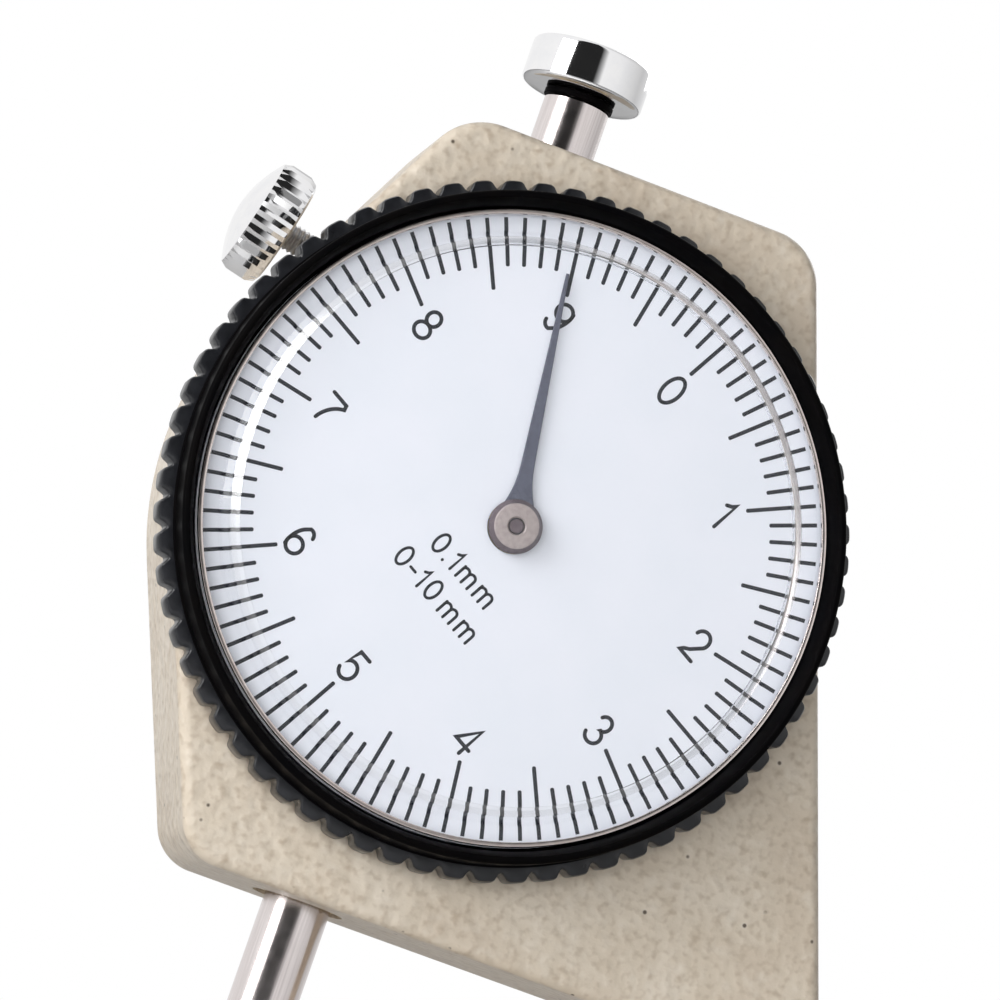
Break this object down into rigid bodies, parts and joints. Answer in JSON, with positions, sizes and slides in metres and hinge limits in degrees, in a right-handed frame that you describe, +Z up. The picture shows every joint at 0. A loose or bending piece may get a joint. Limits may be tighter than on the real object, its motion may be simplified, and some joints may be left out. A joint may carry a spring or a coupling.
{
  "type": "dial thickness gauge",
  "caption": "Hand-held bow thickness gauge: turning dial face, rack-driven pointer, lift-knob spindle closing on a flat anvil, and a spindle lock screw.",
  "frame": {"origin": "on the flat foot under the jaw, directly below the spindle axis", "axes": "+Z up along the spindle axis, -Y towards the reader of the dial, +X towards the bow"},
  "size_m": [0.0753, 0.0257, 0.1179],
  "materials": {
    "enamel": "beige hammered enamel with small dark specks, semi-gloss",
    "chrome": "bright polished chrome plate",
    "ground_steel": "ground and polished steel",
    "screw_steel": "satin steel",
    "brass": "turned brass",
    "aluminium": "plain turned aluminium",
    "black_gloss": "glossy black",
    "dial_white": "cool white printed dial, semi-matt",
    "crystal": "clear polished plastic",
    "pointer_grey": "dark bluish grey lacquer",
    "hub_metal": "turned pinkish metal"
  },
  "bodies": {
    "frame": {"frame_casting": "enamel", "back_cover": "enamel", "cover_screw_1": "screw_steel", "cover_screw_2": "screw_steel", "cover_screw_3": "screw_steel", "cover_screw_4": "screw_steel", "upper_guide_bush": "brass", "lower_guide_bush": "brass", "anvil": "ground_steel", "anvil_set_screw": "screw_steel", "arbor_front_bush": "brass", "arbor_bridge": "brass", "bridge_pillar_1": "brass", "bridge_pillar_2": "brass", "bridge_screw_1": "screw_steel", "bridge_screw_2": "screw_steel", "guide_plate": "ground_steel", "guide_pillar_1": "brass", "guide_pillar_2": "brass", "guide_screw_1": "screw_steel", "guide_screw_2": "screw_steel", "return_spring": "screw_steel", "spring_post": "brass", "hairspring": "screw_steel", "hairspring_stud": "brass", "bezel_spring_wire": "screw_steel"},
    "spindle": {"spindle_rod": "ground_steel", "rack_bar": "ground_steel", "rack_screw_1": "screw_steel", "rack_screw_2": "screw_steel", "contact_point": "ground_steel", "lift_knob": "chrome", "knob_neck_ring": "black_gloss", "guide_pin": "screw_steel", "spring_pin": "screw_steel"},
    "pointer": {"pointer_arbor": "ground_steel", "hairspring_collet": "brass", "pointer_needle": "pointer_grey", "pointer_hub": "hub_metal"},
    "dial": {"bezel": "black_gloss", "crystal": "crystal", "crystal_ring": "chrome", "dial_face": "dial_white", "dial_carrier": "aluminium"},
    "lock_shoe": {"lock_shoe": "brass"},
    "lock_knob": {"lock_screw": "chrome"}
  },
  "joints": [
    {"name": "spindle_lift", "type": "slide", "parent": "frame", "child": "spindle", "axis": [0, 0, 1], "range_m": [0, 0.01], "stiffness_N_per_m": 50, "springref_m": -0.03, "deforming": ["return_spring"]},
    {"name": "pointer_turn", "type": "hinge", "parent": "frame", "child": "pointer", "pos_m": [0.0045, 0, 0.0754], "axis": [0, 1, 0], "range_deg": [0, 360]},
    {"name": "bezel_turn", "type": "hinge", "parent": "frame", "child": "dial", "pos_m": [0.0045, 0, 0.0754], "axis": [0, 1, 0], "continuous": true},
    {"name": "lock_feed", "type": "slide", "parent": "frame", "child": "lock_shoe", "axis": [-0.9744, 0, 0.225], "range_m": [-0.00022, 0.0009]},
    {"name": "lock_turn", "type": "hinge", "parent": "lock_shoe", "child": "lock_knob", "pos_m": [0, 0, 0.0895], "axis": [-0.9744, 0, 0.225], "range_deg": [-180, 720]}
  ],
  "couplings": [
    {"joint": "pointer_turn", "follows": "spindle_lift", "rad_per_m": 628.32},
    {"joint": "lock_turn", "follows": "lock_feed", "rad_per_m": 13963}
  ]
}
